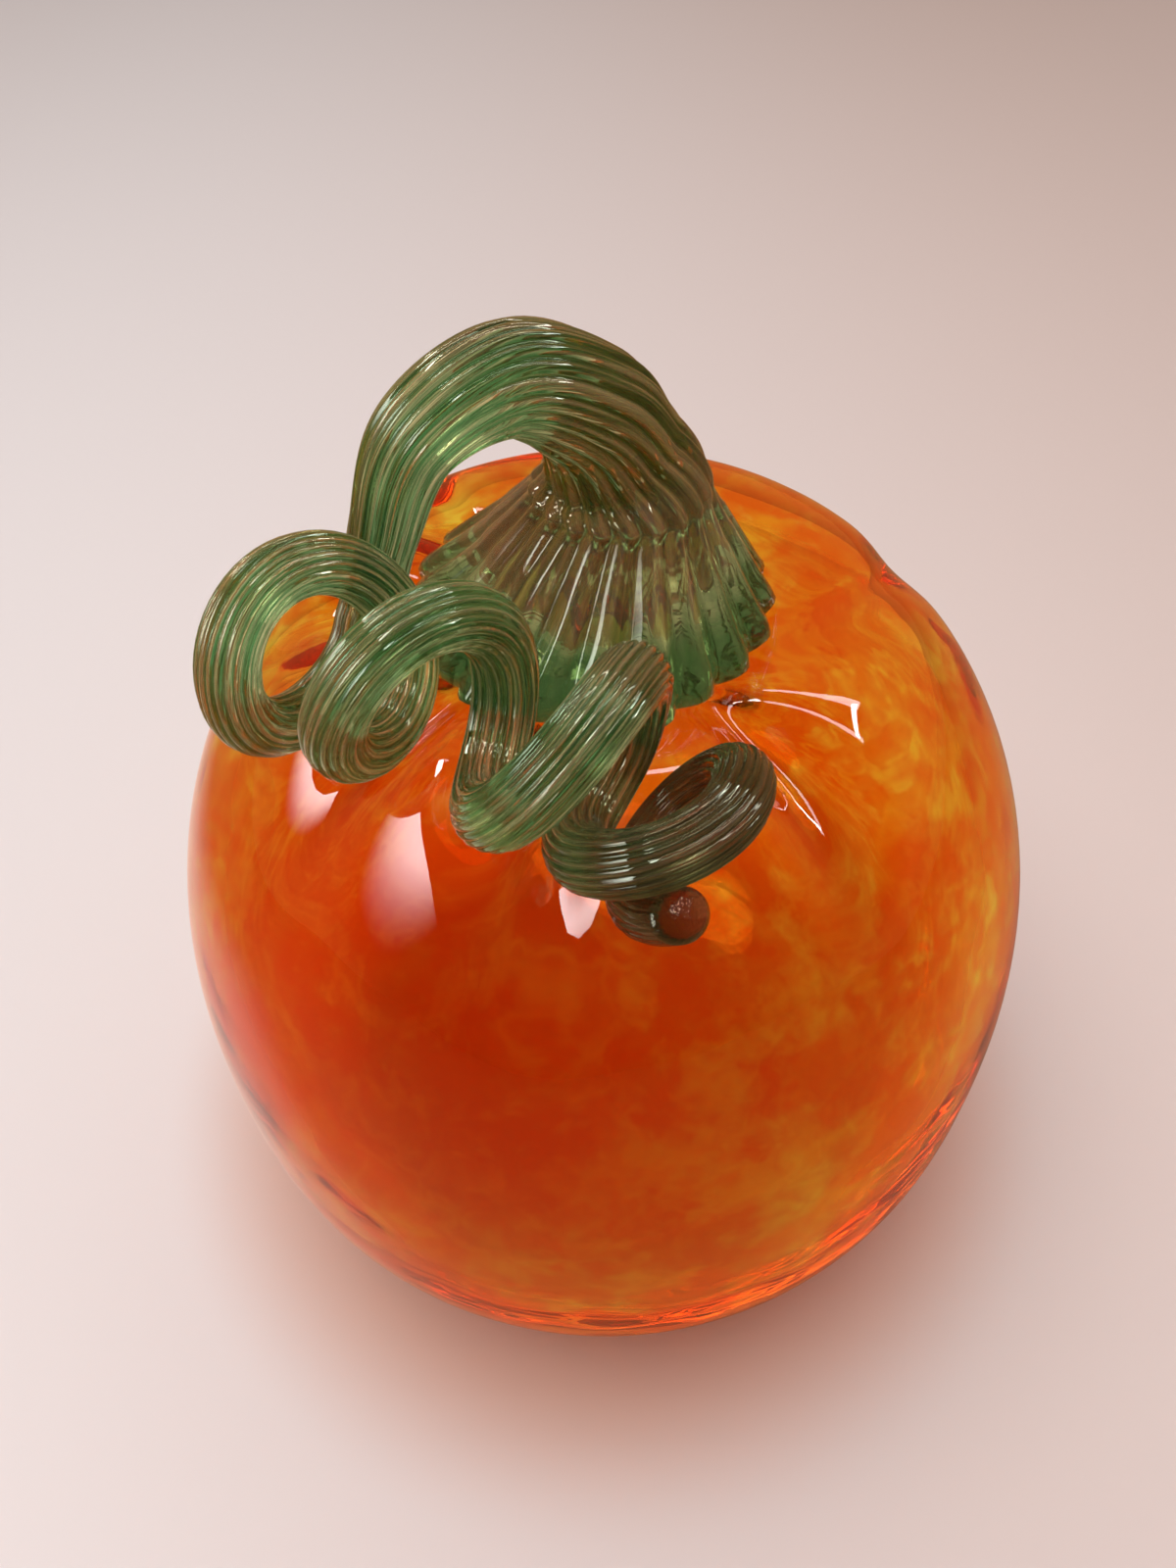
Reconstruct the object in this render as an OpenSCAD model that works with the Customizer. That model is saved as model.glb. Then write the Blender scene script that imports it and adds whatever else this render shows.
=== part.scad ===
// Blown glass pumpkin with a curled vine stem.
// Millimetres, +Z up, front towards -Y. The origin is the middle of the foot, on the table.
// The body is one hollow bubble with a flat foot, pressed creases and an open neck.
// The stem is one ribbed green gather: a crown that sits on the neck, an arch and a curled vine.

/* [Body] */
// Widest diameter of the blown body
body_d = 160; // [156:1:162]
// Height of the widest ring above the table
belly_z = 62; // [58:1:64]
// Height where the upper outline would close without the hollow round the neck
dome_z = 156; // [153:1:157]
// Exponent of the upper outline, where 2 gives an ellipse
upper_power = 2.24; // [2.16:0.02:2.28]
// Exponent of the lower outline
lower_power = 2.8; // [2.4:0.1:3.2]
// Diameter of the flat foot
foot_d = 76; // [60:1:86]
// Thickness of the blown wall at the belly
wall = 6.5; // [3:0.5:8]
// Thickness of the wall at the shoulder
top_wall = 4.5; // [3:0.5:6]
// Thickness of the glass under the hollow
floor_wall = 11; // [6:0.5:14]
// Exponent of the lower outline of the hollow, rounder than the outside
bubble_power = 2.3; // [2:0.1:2.8]

/* [Neck] */
// Height of the flat rim where the body came off the blowpipe
neck_z = 137.5; // [136.5:0.5:139]
// Diameter of the opening in the neck
neck_bore = 26; // [20:1:29]
// Outer diameter of the flat rim
neck_rim_d = 36; // [34:1:38]
// Diameter where the hollow round the neck runs out into the shoulder
hollow_d = 110; // [104:1:116]

/* [Creases] */
// Depth of a crease at its deepest point
crease_depth = 6; // [0:0.5:7]
// Half angle of a crease across the shoulder
crease_spread = 7; // [5:1:10]

/* [Crown] */
// Number of ribs round the stem
rib_count = 20; // [16:1:22]
// Diameter of the crown over the ribs of its rim
crown_d = 57; // [54:1:58]
// Height of the crown above the neck rim
crown_h = 27.5; // [26:0.5:29]
// Thickness of the crown at its rim
crown_lip = 2; // [1.5:0.5:3]
// Depth of the grooves between the ribs at the rim of the crown
rim_rib = 2.6; // [1:0.2:3]
// How far the longest drips hang past the rim
drip = 2.5; // [0:0.5:3]
// Depth of the plug that sagged into the neck
plug_h = 5; // [3:0.5:8]

/* [Vine] */
// Diameter of the stem where the crown becomes the arch
stem_d = 27; // [25:0.5:28]
// Diameter of the vine in the middle of its curl
vine_d = 8.6; // [7:0.2:9]
// Diameter of the vine at its cut tip
tip_d = 7; // [6:0.2:8]
// Depth of the grooves between the ribs, as a share of the stem radius
rib_share = 0.09; // [0.04:0.01:0.12]
// Twist of the ribs where the stem is thickest, in degrees a millimetre
rib_twist = 2; // [0:0.1:2.4]
// Turns of the curl
curl_turns = 4.5; // [3.5:0.05:4.5]

/* [Hidden] */

body_r = body_d / 2;
foot_r = foot_d / 2;
neck_rim_r = neck_rim_d / 2;
neck_bore_r = neck_bore / 2;
hollow_r = hollow_d / 2;
dome_rise = dome_z - belly_z;
// The lower outline closes this far below the belly, and the foot cuts it off
lower_drop = belly_z / pow(1 - pow(foot_r / body_r, lower_power), 1 / lower_power);
hollow_power = 2;
hollow_depth = dome_height(neck_rim_r) - neck_z;

// Steps of the body: up the lower outline, up the upper outline, down the inner wall
lower_steps = 8;
upper_steps = 15;
inner_steps = 10;
inner_floor_steps = 6;
// Directions of the creases from +X, which were pressed by eye and so are unevenly spaced
crease_angles = [4, 85, 140, 180, 220, 261, 308];
crease_count = len(crease_angles);
// Sides of the body beside a crease, as shares of the way to the next one
crease_offsets = [-0.5, -0.35, -0.24, -0.16, -0.1, -0.05, 0, 0.05, 0.1, 0.16, 0.24, 0.35];
// A crease runs between these angles of the upper outline
crease_low = 18;
crease_high = 78;
// Above 1, the deepest point of a crease lies nearer to the neck than to its outer end
crease_skew = 2.5;

rib_sides = 4;
crown_sides = rib_count * rib_sides;
crown_steps = 8;
under_steps = 3;
// The crown sits on the flat rim up to this far from its edge, and clears the shoulder by a hairline
seat_edge = 1;
seat_gap = 0.25;
plug_gap = 0.2;
plug_taper = 0.75;
flare_power = 1.1;
// The middle of the crown is this far to the right at its rim and at its top
rim_shift = -1;
crown_lean = 3.5;
// Directions of the two long drips at the front of the crown, and their half angle
drip_angles = [-69, -132];
drip_spread = 7;
// The rim reaches this much further than its middle at the back, and this much less at the front
rim_swell = 1.2;
// Bulge of the rounded lip at half its height
lip_bulge = 0.5;

// Middle of the arch from the top of the crown to the curl, with its radius as fourth value,
// measured from the middle of the neck rim
arch_route = [
    [crown_lean, 0, crown_h, stem_d / 2],
    [2.5, -0.5, 33.5, 10.4],
    [-1, -3.5, 42, 8.6],
    [-11, -8.5, 49, 7.3],
    [-22.5, -14, 44.5, 6],
    [-28.5, -15.5, 31, 4.8]
];
arch_steps = 5;
// Axis that the vine curls round, from the middle of the neck rim
curl_axis = [
    [-40.5, -28, 24.5],
    [-36, -31.5, 25],
    [-23.5, -42.5, 29],
    [-10.5, -49, 28],
    [3, -51.5, 22.5],
    [8.5, -54.5, 16],
    [12.5, -56.5, 11.5]
];
// Radius of the curl, wide where it leaves the arch, from 0 at the arch to 1 at the tip
curl_radii = [[0, 13.5], [0.25, 10], [0.5, 10.4], [0.75, 11], [1, 9.3]];
// Radius of the vine along the curl
vine_radii = [[0, 4.1], [0.3, 4], [0.5, vine_d / 2], [0.7, vine_d / 2], [1, tip_d / 2]];
// Turn of the curl where the arch ends, counted from the lowest point of the first loop
curl_first = -0.3;
// Turns that the whole axis is laid out for
axis_turns = 4.5;
curl_phase = -43;
// Part of a turn over which the arch runs into the curl
curl_lead = 0.2;
// Share of the axis over which its direction is taken
axis_nudge = 0.01;
curl_steps = 20;
vine_sides = rib_count * 2;

function unit(v) = v / norm(v);
function xyz(p) = [p[0], p[1], p[2]];
function mix(a, b, t) = a + (b - a) * t;
function bump(t) = t <= 0 || t >= 1 ? 0 : pow(sin(180 * t), 2);
function wrap(a) = a - 360 * floor((a + 180) / 360);

// Smooth curve through four neighbouring points, t from 0 at b to 1 at c
function spline(a, b, c, d, t) =
    0.5 * (2 * b + (c - a) * t + (2 * a - 5 * b + 4 * c - d) * t * t
        + (3 * b - a - 3 * c + d) * t * t * t);

// Smooth curve through a list of points, x from 0 at the first to len - 1 at the last.
// The curve starts along before and ends along after.
function route(list, x, before, after) =
    let (last = len(list) - 1)
    let (i = max(0, min(floor(x), last - 1)))
    spline(
        i == 0 ? before : list[i - 1],
        list[i],
        list[i + 1],
        i == last - 1 ? after : list[i + 2],
        x - i);

// Body outline

function dome_height(r) =
    belly_z + dome_rise * pow(max(0, 1 - pow(r / body_r, upper_power)), 1 / upper_power);
function hollow(r) =
    hollow_depth * pow(max(0, hollow_r - max(r, neck_rim_r)) / (hollow_r - neck_rim_r), hollow_power);
function shoulder(r) = dome_height(r) - hollow(r);

// Point of the upper outline at an angle from the belly, set in by the wall on the inner side
function upper_point(angle, inset, top_inset) =
    let (r = (body_r - inset) * pow(cos(angle), 2 / upper_power))
    [r, belly_z + (dome_rise - top_inset) * pow(sin(angle), 2 / upper_power) - hollow(r)];
function lower_point(angle, inset, drop, power) =
    [(body_r - inset) * pow(cos(angle), 2 / power), belly_z - drop * pow(sin(angle), 2 / power)];

// Angle of the upper outline at which it reaches a radius
function upper_angle(r, inset) = acos(pow(r / (body_r - inset), upper_power / 2));
foot_angle = acos(pow(foot_r / body_r, lower_power / 2));
rim_angle = upper_angle(neck_rim_r, 0);
inner_rim_angle = upper_angle(neck_bore_r, wall);

outer_outline = concat(
    [for (i = [0 : lower_steps - 1])
        lower_point(foot_angle * (1 - i / lower_steps), 0, lower_drop, lower_power)],
    [for (i = [0 : upper_steps]) upper_point(rim_angle * i / upper_steps, 0, 0)]);
inner_drop = belly_z - floor_wall;
inner_outline = concat(
    [[neck_bore_r, neck_z]],
    [for (i = [0 : inner_steps]) upper_point(inner_rim_angle * (1 - i / inner_steps), wall, top_wall)],
    [for (i = [1 : inner_floor_steps - 1])
        lower_point(90 * i / inner_floor_steps, wall, inner_drop, bubble_power)]);

// Angle from a crease to the next one
function crease_way(c) = (crease_angles[(c + 1) % crease_count] - crease_angles[c] + 360) % 360;
body_angles = [for (c = [0 : crease_count - 1], o = crease_offsets)
    crease_angles[c] + o * crease_way(o < 0 ? (c + crease_count - 1) % crease_count : c)];
function crease_across(angle) =
    max([for (a = crease_angles) exp(-pow(wrap(angle - a) / crease_spread, 2))]);

// Depth of the crease at a point of the outline, none below the belly
function crease_at(angle, p) =
    p[1] < belly_z ? 0 :
    let (along = (upper_angle(min(p[0], body_r), 0) - crease_low) / (crease_high - crease_low))
    crease_depth * crease_across(angle) * bump(pow(max(0, along), crease_skew));

// Point of the body wall, pressed in towards the middle of the bubble at a crease
function pressed(p, angle) =
    let (whole = [p[0] * cos(angle), p[0] * sin(angle), p[1]])
    let (middle = [0, 0, belly_z])
    whole - crease_at(angle, p) * unit(whole - middle);

// Closed skin over rings of equal length, with a middle point to close the first and the last ring
function skin_faces(rings, sides) = concat(
    [for (i = [0 : rings - 2], j = [0 : sides - 1]) [
        i * sides + j, (i + 1) * sides + j, (i + 1) * sides + (j + 1) % sides]],
    [for (i = [0 : rings - 2], j = [0 : sides - 1]) [
        i * sides + j, (i + 1) * sides + (j + 1) % sides, i * sides + (j + 1) % sides]],
    [for (j = [0 : sides - 1]) [rings * sides, j, (j + 1) % sides]],
    [for (j = [0 : sides - 1]) [
        rings * sides + 1, (rings - 1) * sides + (j + 1) % sides, (rings - 1) * sides + j]]);

module skin(rings, first_middle, last_middle) {
    polyhedron(
        points = concat([for (ring = rings) each ring], [first_middle, last_middle]),
        faces = skin_faces(len(rings), len(rings[0])));
}

// Crown

// 0 on the crest of a rib, 1 in the groove between two ribs
function groove(angle) = 1 - abs(cos(rib_count * angle / 2));
function drip_at(angle) =
    drip * max([for (d = drip_angles) exp(-pow(wrap(angle - d) / drip_spread, 2))]);
function rim_radius(angle) =
    crown_d / 2 - rim_rib * groove(angle) + drip_at(angle) + rim_swell * sin(angle);

// Flared top of the crown, t from 0 at the rim to 1 where the arch starts
function crown_point(angle, t) =
    let (r = mix(stem_radius(stem_d / 2, angle), rim_radius(angle), pow(1 - t, flare_power)))
    let (low = shoulder(rim_radius(angle)) + crown_lip)
    [r * cos(angle) + mix(rim_shift, crown_lean, t), r * sin(angle), mix(low, neck_z + crown_h, t)];
function lip_point(angle) =
    let (r = rim_radius(angle) + lip_bulge)
    [r * cos(angle) + rim_shift, r * sin(angle), shoulder(rim_radius(angle)) + crown_lip / 2];
function under_point(angle, t) =
    let (r = mix(neck_rim_r, rim_radius(angle), t))
    let (x = r * cos(angle) + rim_shift * t)
    let (y = r * sin(angle))
    [x, y, shoulder(norm([x, y])) + seat_gap];
function flat_ring(r, z) = [for (a = crown_angles) [r * cos(a), r * sin(a), z]];
crown_angles = [for (j = [0 : crown_sides - 1]) 360 * j / crown_sides];
plug_r = neck_bore_r - plug_gap;

// Stem sweep

function stem_radius(r, angle) = r * (1 - rib_share * groove(angle));

curl_last = curl_first + curl_turns;
function curl_share(turn) = (turn - curl_first) / axis_turns;
axis_spans = len(curl_axis) - 1;
axis_before = 2 * curl_axis[0] - curl_axis[1];
axis_after = 2 * curl_axis[axis_spans] - curl_axis[axis_spans - 1];
function axis_point(share) = route(curl_axis, share * axis_spans, axis_before, axis_after);

// Point of the curl at a turn, with the radius of the vine as fourth value
function curl_point(turn) =
    let (share = curl_share(turn))
    let (along = unit(axis_point(share + axis_nudge) - axis_point(share - axis_nudge)))
    let (up = unit([0, 0, 1] - along[2] * along))
    let (side = cross(along, up))
    let (spin = curl_phase - 360 * turn)
    let (p = axis_point(share) - lookup(share, curl_radii) * (cos(spin) * up + sin(spin) * side))
    [p[0], p[1], p[2], lookup((turn - curl_first) / curl_turns, vine_radii)];

arch_points = concat(arch_route, [curl_point(curl_first)]);
arch_spans = len(arch_points) - 1;
// The arch leaves the crown straight up and runs into the curl without a kink
arch_before = [arch_route[1][0], arch_route[1][1], 2 * crown_h - arch_route[1][2], stem_d / 2];
arch_after = curl_point(curl_first + curl_lead);
curl_rings = round(curl_turns * curl_steps);
arch_rings = arch_spans * arch_steps;
stem_line = concat(
    [for (i = [0 : arch_rings - 1]) route(arch_points, i / arch_steps, arch_before, arch_after)],
    [for (i = [0 : curl_rings]) curl_point(mix(curl_first, curl_last, i / curl_rings))]);
stem_last = len(stem_line) - 1;

stem_along = [for (i = [0 : stem_last])
    i == 0 ? [0, 0, 1] :
    unit(xyz(stem_line[min(i + 1, stem_last)] - stem_line[i - 1]))];
// Direction of the first rib at each ring, carried along the stem without turning
stem_across = [for (i = 0, v = [1, 0, 0]; i <= stem_last;
    i = i + 1, v = i <= stem_last ? unit(v - (v * stem_along[i]) * stem_along[i]) : v) v];
// The twist eases as the stem is drawn thin
function twist_step(i) =
    let (length = norm(xyz(stem_line[i] - stem_line[i - 1])))
    rib_twist * length * pow(2 * stem_line[i][3] / stem_d, 2);
stem_twist = [for (i = 0, t = 0; i <= stem_last; i = i + 1, t = i <= stem_last ? t - twist_step(i) : t) t];

function stem_ring(i) =
    let (across = stem_across[i])
    let (side = cross(stem_along[i], across))
    let (middle = xyz(stem_line[i]) + [0, 0, neck_z])
    [for (j = [0 : vine_sides - 1])
        let (angle = 360 * j / vine_sides)
        let (turned = angle + stem_twist[i])
        middle + stem_radius(stem_line[i][3], angle) * (cos(turned) * across + sin(turned) * side)];

module stem_piece(first, last) {
    skin(
        [for (i = [first : last]) stem_ring(i)],
        xyz(stem_line[first]) + [0, 0, neck_z],
        xyz(stem_line[last]) + [0, 0, neck_z]);
}

// Least gap between turns of the curl that are half a turn or more apart, and to the body
curl_gap = min([for (i = [arch_rings : stem_last], j = [i + curl_steps / 2 : 1 : stem_last])
    norm(xyz(stem_line[i] - stem_line[j])) - stem_line[i][3] - stem_line[j][3]]);
body_gap = min([for (i = [arch_rings : stem_last])
    stem_line[i][2] + neck_z - shoulder(norm([stem_line[i][0], stem_line[i][1]])) - stem_line[i][3]]);
echo(least_gap_between_turns = curl_gap, height_of_curl_over_body = body_gap);

module body_shell() {
    color("orangered", 0.7)
    skin(
        concat(
            [for (p = outer_outline) [for (a = body_angles) pressed(p, a)]],
            [for (p = inner_outline) [for (a = body_angles) pressed(p, a)]]),
        [0, 0, 0],
        [0, 0, floor_wall]);
}

module stem_crown() {
    color("darkgreen", 0.8)
    skin(
        concat(
            [flat_ring(plug_r * plug_taper, neck_z - plug_h), flat_ring(plug_r, neck_z)],
            [flat_ring(neck_rim_r - seat_edge, neck_z)],
            [for (i = [0 : under_steps]) [for (a = crown_angles) under_point(a, i / under_steps)]],
            [[for (a = crown_angles) lip_point(a)]],
            [for (i = [0 : crown_steps]) [for (a = crown_angles) crown_point(a, i / crown_steps)]]),
        [0, 0, neck_z - plug_h],
        [crown_lean, 0, neck_z + crown_h]);
}

module stem_arch() {
    color("seagreen", 0.8) stem_piece(0, arch_rings);
}

module stem_vine() {
    color("forestgreen", 0.8) stem_piece(arch_rings, stem_last);
}

body_shell();
stem_crown();
stem_arch();
stem_vine();
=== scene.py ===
"""Blown glass pumpkin with a curled vine stem: its glass, its light and its camera, in metres."""

import math

import bpy
from mathutils import Matrix, Vector


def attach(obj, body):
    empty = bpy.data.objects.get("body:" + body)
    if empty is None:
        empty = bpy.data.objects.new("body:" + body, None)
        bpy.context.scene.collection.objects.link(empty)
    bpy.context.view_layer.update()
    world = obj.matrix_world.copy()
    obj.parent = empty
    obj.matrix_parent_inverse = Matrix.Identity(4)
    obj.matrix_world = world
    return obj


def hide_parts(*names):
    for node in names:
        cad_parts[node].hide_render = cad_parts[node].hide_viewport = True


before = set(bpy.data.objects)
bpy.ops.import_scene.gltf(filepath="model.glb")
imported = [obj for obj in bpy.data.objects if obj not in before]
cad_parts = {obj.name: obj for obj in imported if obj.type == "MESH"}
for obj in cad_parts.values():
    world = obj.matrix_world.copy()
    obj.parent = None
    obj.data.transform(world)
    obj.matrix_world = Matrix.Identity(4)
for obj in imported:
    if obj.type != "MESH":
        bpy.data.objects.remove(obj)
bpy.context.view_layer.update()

ROOT = "root"
FULL_TURN = 2 * math.pi
# Values that the meshes keep for their glass
COAT_MAP = "coat"
RIB_MAP = "rib"
THREAD_MAP = "thread"

# Body: one hollow bubble with a flat foot and an open neck
BODY_R = 0.080
BELLY_Z = 0.062
DOME_Z = 0.156
UPPER_POWER = 2.24
LOWER_POWER = 2.8
FOOT_R = 0.038
WALL = 0.0065
TOP_WALL = 0.006
FLOOR_WALL = 0.008
BUBBLE_POWER = 2.75
NECK_Z = 0.1375
NECK_BORE_R = 0.013
NECK_RIM_R = 0.018
HOLLOW_R = 0.055
LOWER_STEPS = 22
UPPER_STEPS = 40
SPIN_STEPS = 216
MERGE = 1e-6

# Creases pressed into the shoulder: their direction, how far down each one runs, its depth, and how
# near to the neck its deepest point lies, where 1 is halfway
CREASES = [
    (math.radians(angle), math.radians(low), depth, skew)
    for angle, low, depth, skew in (
        (3, 10, 0.0016, 1.5), (85, 18, 0.0055, 2.5), (140, 18, 0.005, 2.5), (180, 28, 0.0045, 2.5),
        (221, 18, 0.006, 2.3), (261, 18, 0.0066, 2.0), (308, 18, 0.006, 2.3))]
CREASE_SPREAD = math.radians(8)
CREASE_HIGH = math.radians(78)
# The first crease swings round as it leaves the neck, in radians a metre from this radius
SWING = math.radians(1100)
SWING_R = 0.04
# How much of a crease reaches the hollow
INNER_CREASE = 0.78

# Stem: a ribbed crown on the neck, an arch and a curled vine
RIBS = 20
RIB_SIDES = 8
RING_SIDES = RIBS * RIB_SIDES
RIB_SHARE = 0.09
RIM_R = 0.0285
RIM_SHIFT = -0.001
RIM_SWELL = 0.0012
CROWN_TOP_Z = 0.165
CROWN_LEAN = 0.0035
CROWN_LIP = 0.002
LIP_BULGE = 0.0005
CROWN_STEPS = 14
UNDER_STEPS = 5
FLARE_POWER = 1.1
# Height of the crown over its spread, and how far its ribs melt away at the rim
CROWN_SLOPE = 1.5
RIM_MELT = 0.6
SEAT_GAP = 0.00025
PLUG_DEPTH = 0.005
PLUG_TAPER = 0.75
DRIP = 0.0025
DRIP_ANGLES = (math.radians(-69), math.radians(-132))
DRIP_SPREAD = math.radians(7)
# Height that is left between the crown and the arch, and bridged
BRIDGE_GAP = 0.0008
# How far a point may lie from the height of the first ring of the vine
RING_SLACK = BRIDGE_GAP / 10

# Middle of the arch above the neck rim, with the radius over the ribs as fourth value
ARCH_ROUTE = [
    Vector((0.0035, 0.0, 0.0275, 0.0135)),
    Vector((0.0025, -0.0005, 0.0335, 0.0104)),
    Vector((-0.001, -0.0035, 0.042, 0.0086)),
    Vector((-0.011, -0.0085, 0.049, 0.0073)),
    Vector((-0.0225, -0.014, 0.0445, 0.006)),
    Vector((-0.0285, -0.0155, 0.031, 0.0048)),
]
ARCH_STEPS = 14
# Axis that the vine curls round, above the neck rim
CURL_AXIS = [
    Vector((-0.0405, -0.028, 0.0245)),
    Vector((-0.036, -0.0315, 0.025)),
    Vector((-0.0235, -0.0425, 0.029)),
    Vector((-0.0105, -0.049, 0.028)),
    Vector((0.003, -0.0515, 0.0225)),
    Vector((0.0085, -0.0545, 0.016)),
    Vector((0.0125, -0.0565, 0.0115)),
]
CURL_RADII = [(0, 0.0135), (0.25, 0.010), (0.5, 0.0104), (0.75, 0.011), (1, 0.0093)]
VINE_RADII = [(0, 0.0041), (0.3, 0.004), (0.5, 0.0043), (0.7, 0.0043), (1, 0.0035)]
CURL_FIRST = -0.3
CURL_TURNS = 4.5
CURL_PHASE = math.radians(-43)
CURL_LEAD = 0.2
CURL_STEPS = 56
AXIS_NUDGE = 0.01
# Twist of the ribs where the stem is thickest, in radians a metre
RIB_TWIST = math.radians(2000)
# Length over which the threads of colour change as much as once across the stem
THREAD_LENGTH = 0.25
TIP_INSET = 0.0009
TIP_BULGE = 0.0006
# Rib value that marks the sheared face, above those of the ribs, and where its painted shade starts
TIP_MARK = 2.0
TIP_EDGE = 1.2
# The tip is sheared aslant, over its last rings, so that its face looks this way
TIP_FACING = Vector((0.0, -0.62, 0.79))
TIP_SLANT = 0.7
TIP_RINGS = 10
# Over those rings the ribs melt away, to this share of the radius over them
TIP_ROUND = 0.96

# Studio: a light tent, what the glass mirrors of it, and both where it is open
TENT_WALL = (0.78, 0.72, 0.70)
TENT_SHINE = (0.50, 0.23, 0.07)
TENT_DARK = (0.03, 0.027, 0.027)
MIRROR_DARK = (0.22, 0.07, 0.015)
# The tent is open towards the camera, between these cosines of the angle to its direction
TENT_OPENING = (0.0, -0.62, 0.79)
OPENING_EDGE = 0.45
OPENING_MIDDLE = 0.8
# The glass mirrors only the low walls and the table
SHINE_EDGE = 0.1
SHINE_MIDDLE = 0.5
# Table, with a painted warm glow and shade round the foot, for light coming through the orange glass
TABLE_SIZE = 4
TABLE_DROP = 0.0003
TABLE_ROUGHNESS = 0.6
# Painted light: the table is whiter on the left and pinker on the right, where warm light falls
TABLE_COOL = (0.84, 0.80, 0.80)
TABLE_WARM_LIGHT = (0.74, 0.60, 0.55)
TABLE_BLEND = 0.35
PAINTED_FOOT_GLOW = (0.74, 0.49, 0.40)
PAINTED_GLOW_FROM = 0.108
PAINTED_GLOW_TO = 0.075
# What the glass shows of the table: its reflection, and how far the shade behind it is lifted
SHINE_NEAR = (0.88, 0.70, 0.60)
SHINE_RIGHT = (0.36, 0.19, 0.10)
# In front, the reflection is painted warm and dark for the glow and shade on the table there
SHINE_FRONT = (0.52, 0.22, 0.05)
SHINE_FAR = (0.45, 0.20, 0.05)
FRONT_FROM = -0.02
FRONT_TO = -0.10
SHINE_FROM = 0.17
SHINE_TO = 0.32
SEEN_THROUGH = 0.3
LAMP_COLOR = (1, 0.965, 0.955)
# Soft lamp overhead
TOP_PLACE = (-0.2, -0.12, 1.15)
TOP_SIZE = 1.0
TOP_POWER = 9.8
# Panel at the left, which fades over its width and over this share of its length
LEFT_START = Vector((-0.4, -0.40, 0.26))
LEFT_END = Vector((-0.4, 0.02, 0.44))
LEFT_W = 0.24
LEFT_POWER = 5
LEFT_FADE = 0.5
# Light runs round inside the wall at its edge, and fewer bounces leave dark marks there
BOUNCES = 128
GLASS_BOUNCES = 96
# Corners of a frame of light strips over the pumpkin
STRIP_CORNERS = [
    Vector((-0.3, 0.02, 0.64)),
    Vector((0.5, 0.02, 0.64)),
    Vector((0.5, 0.28, 0.64)),
    Vector((-0.3, 0.28, 0.64)),
]
STRIP_W = 0.04
STRIP_POWER = 0.9

# Glass: its clearness, the colour of its shine, and the colour that deepens with its thickness
GLASS_IOR = 1.5
ORANGE_CLARITY = 1.0
ORANGE_GLOSS = (1.0, 1.0, 1.0)
ORANGE_TINT = (0.96, 0.62, 0.45)
ORANGE_DENSITY = 15
GREEN_CLARITY = 0.86
GREEN_GLOSS = (0.9, 1.0, 0.85)
GREEN_TINT = (0.43, 0.66, 0.18)
GREEN_DENSITY = 18
# Veils of colour: their scale, how far they are pulled and how wide their veins are
WISP_VEIL = {"Scale": 58.0, "Warp": 0.035, "Width": 0.24}
WISP_MIST = {"Scale": 115.0, "Warp": 0.03, "Width": 0.3}
WARM_CLOUD = {"Scale": 28.0, "Warp": 0.03, "Width": 0.3}
GREEN_CLOUD = {"Scale": 60.0, "Warp": 0.03, "Width": 0.3}
GREEN_THREAD = {"Scale": 24.0, "Warp": 0.02, "Width": 0.3}
SWIRL_DETAIL = 2.0
# Clouds in a veil: their scale beside that of its veins, and the noise where they start and are full
CLOUD_SCALE = 0.4
CLOUD_DETAIL = 3.0
CLOUD_LOW = 0.4
CLOUD_HIGH = 0.65
# Waves on the skin of the glass
BODY_WAVE = {"Scale": 40.0, "Height": 0.0004}
STEM_WAVE = {"Scale": 10.0, "Height": 0.0001}
WAVE_DETAIL = 1.0
# Sockets of a mix node that carry colours
COLOR_INPUTS = slice(6, 8)
COLOR_OUTPUT = 2
# Shares of the orange in the skin and in the lining of the body
SKIN_SHARE = 0.88
LINING_SHARE = 0.12
RED_ORANGE = (0.74, 0.03, 0.0005)
# Painted shade: the orange is darker on the left, where more light comes in from the pale table
SHADED_WARM_LEFT = (0.74, 0.12, 0.0005)
WARM_RIGHT = (0.96, 0.15, 0.0005)
AMBER = (1.0, 0.90, 0.05)
# Dark red-brown painted on the tip's face as shade
TIP_SHADE_BROWN = (0.7, 0.06, 0.015)
# Amber wisps: the strength of their veins and of the haze between, and how they fade low on the body
STROKES = 0.55
SOFT_WISPS = 0.22
WISPS_LOW = 0.04
WISPS_HIGH = 0.10
WISPS_LEAST = 0.6
# Least share of the wisps in the red
RED_WISPS = 0.06
# The red is deepest on the front of the shoulder, partly the glass's own colour and partly painted shade
# for the darker view through it there, and thins out from the first distance to the second
RED_MIDDLE = Vector((-0.028, -0.06, 0.112))
RED_NEAR = 0.02
RED_FAR = 0.085
# Least share of the warm colours where the red has thinned out
WARM_LEAST = 0.6
PALE_GREEN = (0.90, 0.74, 0.42)
LEAF_GREEN = (0.13, 0.42, 0.14)
BOTTLE_GREEN = (0.035, 0.15, 0.045)
CROWN_PALE = (0.92, 0.64, 0.42)
TAIL_SHADE_BROWN = (0.09, 0.04, 0.02)
# Rib values between which the pale streaks on the crests give way to the deep green painted into the
# grooves as shade
GROOVE_SHADE_FROM = 0.3
GROOVE_SHADE_TO = 1.0
# Where the rim of the crown turns dark, the crown pale and the end of the vine brown with painted shade
# near the body, along the threads
RIM_FROM = -0.03
RIM_TO = -0.062
RIM_SHARE = 0.85
CROWN_SHARE = 0.4
CROWN_END = 0.03
TAIL_FROM = 0.95
TAIL_TO = 1.4
TAIL_SHARE = 0.85

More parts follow.
